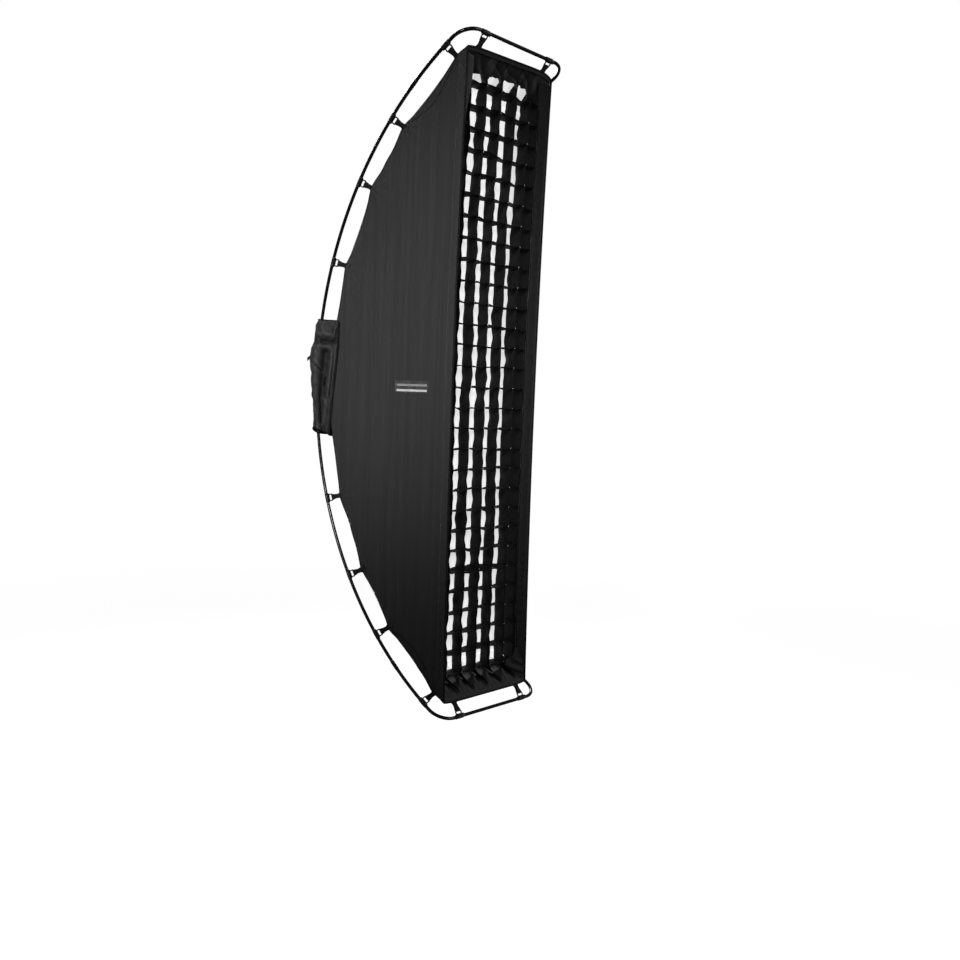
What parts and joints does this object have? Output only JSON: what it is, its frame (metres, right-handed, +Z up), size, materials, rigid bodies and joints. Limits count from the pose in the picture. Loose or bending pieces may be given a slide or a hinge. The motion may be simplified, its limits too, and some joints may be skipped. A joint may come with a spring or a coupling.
{
  "type": "studio softbox",
  "caption": "Tall narrow studio softbox: black fabric bag hung by clips in a bowed tube frame, with egg-crate grid, white diffusers, rotating speedring and rear cover.",
  "frame": {"origin": "centre of the whole object's box, on the optical axis that runs through the speedring", "axes": "light leaves towards -Y, the flash head mounts on the +Y side, +Z up along the long side, +X across the narrow side"},
  "size_m": [0.447, 0.7358, 1.8946],
  "materials": {
    "shell_fabric": "matt black coated nylon",
    "grid_fabric": "matt black woven strips",
    "diffuser_fabric": "white translucent cloth",
    "webbing": "black webbing and cord",
    "pole_coating": "gloss black coating",
    "clip_plastic": "moulded black nylon",
    "ring_metal": "black anodised casting",
    "bare_metal": "brushed metal",
    "label_print": "plain woven patch"
  },
  "bodies": {
    "root": {"clip_left_1": "clip_plastic", "clip_left_2": "clip_plastic", "clip_left_3": "clip_plastic", "clip_left_4": "clip_plastic", "clip_left_5": "clip_plastic", "clip_left_6": "clip_plastic", "clip_left_7": "clip_plastic", "clip_left_8": "clip_plastic", "clip_right_1": "clip_plastic", "clip_right_2": "clip_plastic", "clip_right_3": "clip_plastic", "clip_right_4": "clip_plastic", "clip_right_5": "clip_plastic", "clip_right_6": "clip_plastic", "clip_right_7": "clip_plastic", "clip_right_8": "clip_plastic", "clip_top_left": "clip_plastic", "clip_top_right": "clip_plastic", "clip_bottom_left": "clip_plastic", "clip_bottom_right": "clip_plastic", "pole_upper_left": "pole_coating", "pole_upper_right": "pole_coating", "pole_lower_left": "pole_coating", "pole_lower_right": "pole_coating", "end_tube_upper": "pole_coating", "end_tube_lower": "pole_coating", "spigot_upper_left": "bare_metal", "spigot_upper_right": "bare_metal", "spigot_lower_left": "bare_metal", "spigot_lower_right": "bare_metal", "baffle_strap_upper_left": "webbing", "baffle_strap_upper_right": "webbing", "baffle_strap_lower_left": "webbing", "baffle_strap_lower_right": "webbing", "side_panel_left": "shell_fabric", "side_panel_right": "shell_fabric", "back_panel": "shell_fabric", "front_lip": "shell_fabric", "rear_cover": "shell_fabric", "inner_baffle": "diffuser_fabric", "speedring_body": "ring_metal", "retaining_ring": "bare_metal", "hub_screw_left": "bare_metal", "hub_screw_right": "bare_metal", "retainer_screw_1": "bare_metal", "retainer_screw_2": "bare_metal", "retainer_screw_3": "bare_metal", "hub_left": "clip_plastic", "hub_right": "clip_plastic", "drawcord": "webbing", "side_label": "label_print"},
    "adapter": {"flash_adapter": "bare_metal"},
    "knob": {"lock_knob": "clip_plastic"},
    "shoe": {"lock_shoe": "bare_metal"},
    "diffuser": {"front_diffuser": "diffuser_fabric"},
    "grid": {"egg_crate_grid": "grid_fabric"},
    "flap_left": {"cover_flap_left": "shell_fabric"},
    "flap_right": {"cover_flap_right": "shell_fabric"},
    "cord_stop": {"cord_lock": "clip_plastic"},
    "cord_button": {"cord_lock_button": "clip_plastic"}
  },
  "joints": [
    {"name": "adapter_turn", "type": "hinge", "parent": "root", "child": "adapter", "pos_m": [0, 0.2525, 0], "axis": [0, 1, 0], "continuous": true},
    {"name": "knob_turn", "type": "hinge", "parent": "root", "child": "knob", "pos_m": [0, 0.2514, 0.098], "axis": [0, 0, 1], "range_deg": [0, 720]},
    {"name": "shoe_travel", "type": "slide", "parent": "root", "child": "shoe", "axis": [0, 0, 1], "range_m": [0, 0.0025]},
    {"name": "diffuser_pull", "type": "slide", "parent": "root", "child": "diffuser", "axis": [0, -1, 0], "range_m": [0, 0.2]},
    {"name": "grid_pull", "type": "slide", "parent": "diffuser", "child": "grid", "axis": [0, -1, 0], "range_m": [0, 0.3]},
    {"name": "flap_left_open", "type": "hinge", "parent": "root", "child": "flap_left", "pos_m": [-0.11815, 0.3129, 0], "axis": [0, 0, -1], "range_deg": [0, 95]},
    {"name": "flap_right_open", "type": "hinge", "parent": "root", "child": "flap_right", "pos_m": [0.11815, 0.3129, 0], "axis": [0, 0, 1], "range_deg": [0, 95]},
    {"name": "cord_lock_slide", "type": "slide", "parent": "root", "child": "cord_stop", "axis": [0, 0, -1], "range_m": [-0.01, 0.04]},
    {"name": "cord_button_press", "type": "slide", "parent": "cord_stop", "child": "cord_button", "axis": [0, -1, 0], "range_m": [0, 0.002], "stiffness_N_per_m": 400}
  ],
  "couplings": [
    {"joint": "knob_turn", "follows": "shoe_travel", "rad_per_m": 5026.5}
  ]
}
